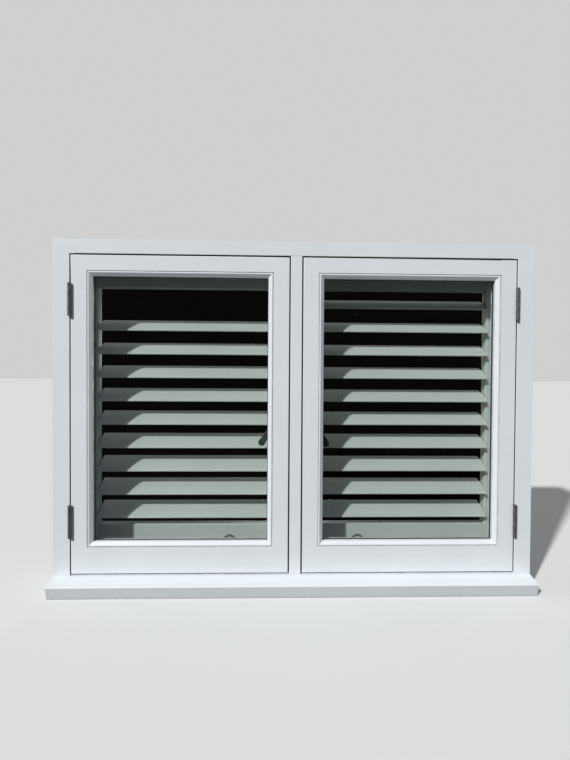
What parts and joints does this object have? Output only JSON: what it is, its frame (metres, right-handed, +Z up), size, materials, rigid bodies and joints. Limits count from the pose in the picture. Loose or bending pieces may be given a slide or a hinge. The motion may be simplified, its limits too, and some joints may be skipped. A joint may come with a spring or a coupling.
{
  "type": "casement window with louvred shutters",
  "caption": "Two-light painted timber flush casement window with a pair of louvred shutter panels in their own frame behind the glass; sashes, stays, fasteners, panels and louvres move.",
  "frame": {"origin": "middle of the sill's underside, in the plane of the window frame's outside face", "axes": "+X to the right seen from outside, +Y into the room, +Z up"},
  "size_m": [1.151, 0.188, 0.8386],
  "materials": {
    "window_paint": "satin white paint on timber, arrises slightly eased",
    "shutter_paint": "satin pale grey-green paint on timber",
    "pewter": "dark pewter patina, waxed",
    "hinge_steel": "satin steel",
    "strip_metal": "painted to match the louvres",
    "clear_glass": "clear float glass",
    "spacer": "dark spacer bar"
  },
  "bodies": {
    "window_frame": {"frame_sill": "window_paint", "frame_head": "window_paint", "frame_jamb_left": "window_paint", "frame_jamb_right": "window_paint", "frame_mullion": "window_paint", "frame_ironmongery": "pewter", "shutter_frame_sides": "shutter_paint", "shutter_frame_rails": "shutter_paint", "shutter_frame_hinge_leaves": "hinge_steel"},
    "left_casement": {"left_sash_hinge_stile": "window_paint", "left_sash_lock_stile": "window_paint", "left_sash_top_rail": "window_paint", "left_sash_bottom_rail": "window_paint", "left_glazing_beads": "window_paint", "left_glass_panes": "clear_glass", "left_glass_spacer": "spacer", "left_sash_fittings": "pewter"},
    "left_fastener": {"left_fastener_lever": "pewter"},
    "left_swivel": {"left_stay_swivel": "pewter"},
    "left_stay": {"left_stay_arm": "pewter"},
    "left_shutter": {"left_shutter_hinge_stile": "shutter_paint", "left_shutter_lock_stile": "shutter_paint", "left_shutter_rails": "shutter_paint", "left_shutter_hinge_leaves": "hinge_steel"},
    "left_strip": {"left_tilt_strip": "strip_metal"},
    "left_louvre_2": {"left_louvre_2": "shutter_paint"},
    "left_louvre_3": {"left_louvre_3": "shutter_paint"},
    "left_louvre_4": {"left_louvre_4": "shutter_paint"},
    "left_louvre_5": {"left_louvre_5": "shutter_paint"},
    "left_louvre_6": {"left_louvre_6": "shutter_paint"},
    "left_louvre_7": {"left_louvre_7": "shutter_paint"},
    "left_louvre_8": {"left_louvre_8": "shutter_paint"},
    "left_louvre_9": {"left_louvre_9": "shutter_paint"},
    "left_louvre_10": {"left_louvre_10": "shutter_paint"},
    "right_casement": {"right_sash_hinge_stile": "window_paint", "right_sash_lock_stile": "window_paint", "right_sash_top_rail": "window_paint", "right_sash_bottom_rail": "window_paint", "right_glazing_beads": "window_paint", "right_glass_panes": "clear_glass", "right_glass_spacer": "spacer", "right_sash_fittings": "pewter"},
    "right_fastener": {"right_fastener_lever": "pewter"},
    "right_swivel": {"right_stay_swivel": "pewter"},
    "right_stay": {"right_stay_arm": "pewter"},
    "right_shutter": {"right_shutter_hinge_stile": "shutter_paint", "right_shutter_lock_stile": "shutter_paint", "right_shutter_rails": "shutter_paint", "right_shutter_hinge_leaves": "hinge_steel"},
    "right_strip": {"right_tilt_strip": "strip_metal"},
    "right_louvre_1": {"right_louvre_1": "shutter_paint"},
    "right_louvre_2": {"right_louvre_2": "shutter_paint"},
    "right_louvre_3": {"right_louvre_3": "shutter_paint"},
    "right_louvre_4": {"right_louvre_4": "shutter_paint"},
    "right_louvre_5": {"right_louvre_5": "shutter_paint"},
    "right_louvre_6": {"right_louvre_6": "shutter_paint"},
    "right_louvre_7": {"right_louvre_7": "shutter_paint"},
    "right_louvre_8": {"right_louvre_8": "shutter_paint"},
    "right_louvre_9": {"right_louvre_9": "shutter_paint"},
    "right_louvre_10": {"right_louvre_10": "shutter_paint"}
  },
  "joints": [
    {"name": "left_casement_hinge", "type": "hinge", "parent": "window_frame", "child": "left_casement", "pos_m": [-0.534, -0.0044, 0.04359], "axis": [0, 0, -1], "range_deg": [0, 90]},
    {"name": "left_fastener_pivot", "type": "hinge", "parent": "left_casement", "child": "left_fastener", "pos_m": [-0.0409, 0.055, 0.41399], "axis": [0, -1, 0], "range_deg": [-57, 33]},
    {"name": "left_stay_swivel_pin", "type": "hinge", "parent": "left_casement", "child": "left_swivel", "pos_m": [-0.434, 0.062, 0.08279], "axis": [0, 0, 1], "range_deg": [0, 131]},
    {"name": "left_stay_lift", "type": "hinge", "parent": "left_swivel", "child": "left_stay", "pos_m": [-0.434, 0.062, 0.08279], "axis": [0, -1, 0], "range_deg": [0, 60]},
    {"name": "left_shutter_hinge", "type": "hinge", "parent": "window_frame", "child": "left_shutter", "pos_m": [-0.55075, 0.1252, 0.054], "axis": [0, 0, 1], "range_deg": [0, 105]},
    {"name": "left_louvre_5_pivot", "type": "hinge", "parent": "left_shutter", "child": "left_louvre_5", "pos_m": [-0.277, 0.108, 0.46663], "axis": [1, 0, 0], "range_deg": [-103.3, 46.7]},
    {"name": "left_louvre_2_pivot", "type": "hinge", "parent": "left_shutter", "child": "left_louvre_2", "pos_m": [-0.277, 0.108, 0.64563], "axis": [1, 0, 0], "range_deg": [-103.3, 46.7]},
    {"name": "left_louvre_3_pivot", "type": "hinge", "parent": "left_shutter", "child": "left_louvre_3", "pos_m": [-0.277, 0.108, 0.58597], "axis": [1, 0, 0], "range_deg": [-103.3, 46.7]},
    {"name": "left_louvre_4_pivot", "type": "hinge", "parent": "left_shutter", "child": "left_louvre_4", "pos_m": [-0.277, 0.108, 0.5263], "axis": [1, 0, 0], "range_deg": [-103.3, 46.7]},
    {"name": "left_louvre_6_pivot", "type": "hinge", "parent": "left_shutter", "child": "left_louvre_6", "pos_m": [-0.277, 0.108, 0.40697], "axis": [1, 0, 0], "range_deg": [-103.3, 46.7]},
    {"name": "left_louvre_7_pivot", "type": "hinge", "parent": "left_shutter", "child": "left_louvre_7", "pos_m": [-0.277, 0.108, 0.3473], "axis": [1, 0, 0], "range_deg": [-103.3, 46.7]},
    {"name": "left_louvre_8_pivot", "type": "hinge", "parent": "left_shutter", "child": "left_louvre_8", "pos_m": [-0.277, 0.108, 0.28763], "axis": [1, 0, 0], "range_deg": [-103.3, 46.7]},
    {"name": "left_louvre_9_pivot", "type": "hinge", "parent": "left_shutter", "child": "left_louvre_9", "pos_m": [-0.277, 0.108, 0.22797], "axis": [1, 0, 0], "range_deg": [-103.3, 46.7]},
    {"name": "left_louvre_10_pivot", "type": "hinge", "parent": "left_shutter", "child": "left_louvre_10", "pos_m": [-0.277, 0.108, 0.1683], "axis": [1, 0, 0], "range_deg": [-103.3, 46.7]},
    {"name": "left_tilt_strip_pivot", "type": "hinge", "parent": "left_louvre_5", "child": "left_strip", "pos_m": [-0.062, 0.13706, 0.48228], "axis": [1, 0, 0], "range_deg": [-46.7, 103.3]},
    {"name": "right_casement_hinge", "type": "hinge", "parent": "window_frame", "child": "right_casement", "pos_m": [0.534, -0.0044, 0.04359], "axis": [0, 0, 1], "range_deg": [0, 90]},
    {"name": "right_fastener_pivot", "type": "hinge", "parent": "right_casement", "child": "right_fastener", "pos_m": [0.0409, 0.055, 0.41399], "axis": [0, 1, 0], "range_deg": [-57, 33]},
    {"name": "right_stay_swivel_pin", "type": "hinge", "parent": "right_casement", "child": "right_swivel", "pos_m": [0.434, 0.062, 0.08279], "axis": [0, 0, -1], "range_deg": [0, 131]},
    {"name": "right_stay_lift", "type": "hinge", "parent": "right_swivel", "child": "right_stay", "pos_m": [0.434, 0.062, 0.08279], "axis": [0, 1, 0], "range_deg": [0, 60]},
    {"name": "right_shutter_hinge", "type": "hinge", "parent": "window_frame", "child": "right_shutter", "pos_m": [0.55075, 0.1252, 0.054], "axis": [0, 0, -1], "range_deg": [0, 105]},
    {"name": "right_louvre_5_pivot", "type": "hinge", "parent": "right_shutter", "child": "right_louvre_5", "pos_m": [0.277, 0.108, 0.46663], "axis": [1, 0, 0], "range_deg": [-100.7, 49.3]},
    {"name": "right_louvre_1_pivot", "type": "hinge", "parent": "right_shutter", "child": "right_louvre_1", "pos_m": [0.277, 0.108, 0.7053], "axis": [1, 0, 0], "range_deg": [-100.7, 49.3]},
    {"name": "right_louvre_2_pivot", "type": "hinge", "parent": "right_shutter", "child": "right_louvre_2", "pos_m": [0.277, 0.108, 0.64563], "axis": [1, 0, 0], "range_deg": [-100.7, 49.3]},
    {"name": "right_louvre_3_pivot", "type": "hinge", "parent": "right_shutter", "child": "right_louvre_3", "pos_m": [0.277, 0.108, 0.58597], "axis": [1, 0, 0], "range_deg": [-100.7, 49.3]},
    {"name": "right_louvre_4_pivot", "type": "hinge", "parent": "right_shutter", "child": "right_louvre_4", "pos_m": [0.277, 0.108, 0.5263], "axis": [1, 0, 0], "range_deg": [-100.7, 49.3]},
    {"name": "right_louvre_6_pivot", "type": "hinge", "parent": "right_shutter", "child": "right_louvre_6", "pos_m": [0.277, 0.108, 0.40697], "axis": [1, 0, 0], "range_deg": [-100.7, 49.3]},
    {"name": "right_louvre_7_pivot", "type": "hinge", "parent": "right_shutter", "child": "right_louvre_7", "pos_m": [0.277, 0.108, 0.3473], "axis": [1, 0, 0], "range_deg": [-100.7, 49.3]},
    {"name": "right_louvre_8_pivot", "type": "hinge", "parent": "right_shutter", "child": "right_louvre_8", "pos_m": [0.277, 0.108, 0.28763], "axis": [1, 0, 0], "range_deg": [-100.7, 49.3]},
    {"name": "right_louvre_9_pivot", "type": "hinge", "parent": "right_shutter", "child": "right_louvre_9", "pos_m": [0.277, 0.108, 0.22797], "axis": [1, 0, 0], "range_deg": [-100.7, 49.3]},
    {"name": "right_louvre_10_pivot", "type": "hinge", "parent": "right_shutter", "child": "right_louvre_10", "pos_m": [0.277, 0.108, 0.1683], "axis": [1, 0, 0], "range_deg": [-100.7, 49.3]},
    {"name": "right_tilt_strip_pivot", "type": "hinge", "parent": "right_louvre_5", "child": "right_strip", "pos_m": [0.062, 0.13774, 0.48094], "axis": [1, 0, 0], "range_deg": [-49.3, 100.7]}
  ],
  "couplings": [
    {"joint": "left_stay_swivel_pin", "follows": "left_casement_hinge", "ratio": 1.45},
    {"joint": "left_louvre_2_pivot", "follows": "left_louvre_5_pivot", "ratio": 1},
    {"joint": "left_louvre_3_pivot", "follows": "left_louvre_5_pivot", "ratio": 1},
    {"joint": "left_louvre_4_pivot", "follows": "left_louvre_5_pivot", "ratio": 1},
    {"joint": "left_louvre_6_pivot", "follows": "left_louvre_5_pivot", "ratio": 1},
    {"joint": "left_louvre_7_pivot", "follows": "left_louvre_5_pivot", "ratio": 1},
    {"joint": "left_louvre_8_pivot", "follows": "left_louvre_5_pivot", "ratio": 1},
    {"joint": "left_louvre_9_pivot", "follows": "left_louvre_5_pivot", "ratio": 1},
    {"joint": "left_louvre_10_pivot", "follows": "left_louvre_5_pivot", "ratio": 1},
    {"joint": "left_tilt_strip_pivot", "follows": "left_louvre_5_pivot", "ratio": -1},
    {"joint": "right_stay_swivel_pin", "follows": "right_casement_hinge", "ratio": 1.45},
    {"joint": "right_louvre_1_pivot", "follows": "right_louvre_5_pivot", "ratio": 1},
    {"joint": "right_louvre_2_pivot", "follows": "right_louvre_5_pivot", "ratio": 1},
    {"joint": "right_louvre_3_pivot", "follows": "right_louvre_5_pivot", "ratio": 1},
    {"joint": "right_louvre_4_pivot", "follows": "right_louvre_5_pivot", "ratio": 1},
    {"joint": "right_louvre_6_pivot", "follows": "right_louvre_5_pivot", "ratio": 1},
    {"joint": "right_louvre_7_pivot", "follows": "right_louvre_5_pivot", "ratio": 1},
    {"joint": "right_louvre_8_pivot", "follows": "right_louvre_5_pivot", "ratio": 1},
    {"joint": "right_louvre_9_pivot", "follows": "right_louvre_5_pivot", "ratio": 1},
    {"joint": "right_louvre_10_pivot", "follows": "right_louvre_5_pivot", "ratio": 1},
    {"joint": "right_tilt_strip_pivot", "follows": "right_louvre_5_pivot", "ratio": -1}
  ]
}
